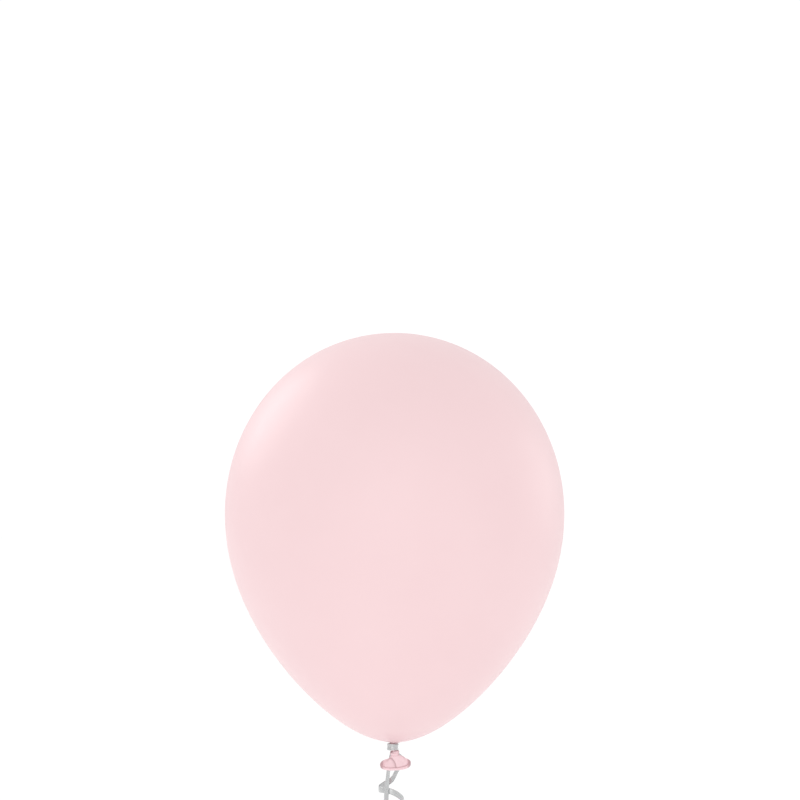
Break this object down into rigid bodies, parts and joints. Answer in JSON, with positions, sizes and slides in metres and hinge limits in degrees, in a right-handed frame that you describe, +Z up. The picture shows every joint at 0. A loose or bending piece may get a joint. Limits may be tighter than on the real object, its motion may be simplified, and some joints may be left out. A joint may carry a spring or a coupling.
{
  "type": "latex balloon",
  "caption": "Round inflated latex party balloon in pale pink, knotted at the neck and tied with silver-white curling ribbon whose spare length is folded into a hank.",
  "frame": {"origin": "centre of the neck, where the bulb's underside meets the ribbon tie", "axes": "+Z up the bulb's axis to the crown, +X to the right, -Y to the front; the flattened mouth faces the front and the ribbon's tails hang behind it"},
  "size_m": [0.3002, 0.3002, 0.557],
  "materials": {
    "latex_film": "stretched pastel latex, satin and almost opaque",
    "latex_thick": "unstretched latex, a little deeper and matt",
    "ribbon": "silver-white polypropylene curling ribbon, fine lengthwise ribs and a satin gloss",
    "tie": "short band of plain white ribbon, matt"
  },
  "bodies": {
    "balloon": {"envelope": "latex_film", "neck": "latex_thick", "latex_knot": "latex_thick", "ribbon_wrap": "ribbon"},
    "mouth": {"mouth_skirt": "latex_thick", "mouth_bead": "latex_thick"},
    "tie_knot": {"ribbon_knot": "ribbon"},
    "lead": {"ribbon_lead": "ribbon", "ribbon_hank": "ribbon", "hank_tie": "tie", "ribbon_end": "ribbon"},
    "curl": {"curl_stem": "ribbon", "curl_coil": "ribbon"}
  },
  "joints": [
    {"name": "mouth_flex", "type": "hinge", "parent": "balloon", "child": "mouth", "pos_m": [0, 0, -0.0132], "axis": [1, 0, 0], "range_deg": [-60, 5], "stiffness_Nm_per_rad": 0.0002},
    {"name": "ribbon_sway", "type": "hinge", "parent": "balloon", "child": "tie_knot", "pos_m": [-0.002, 0.0073, -0.0052], "axis": [1, 0, 0], "range_deg": [0, 45]},
    {"name": "lead_swing", "type": "hinge", "parent": "tie_knot", "child": "lead", "pos_m": [-0.002, 0.0073, -0.0052], "axis": [0, 1, 0], "range_deg": [-50, 50]},
    {"name": "curl_swing", "type": "hinge", "parent": "tie_knot", "child": "curl", "pos_m": [-0.002, 0.0073, -0.0052], "axis": [0, 1, 0], "range_deg": [-35, 35]}
  ]
}
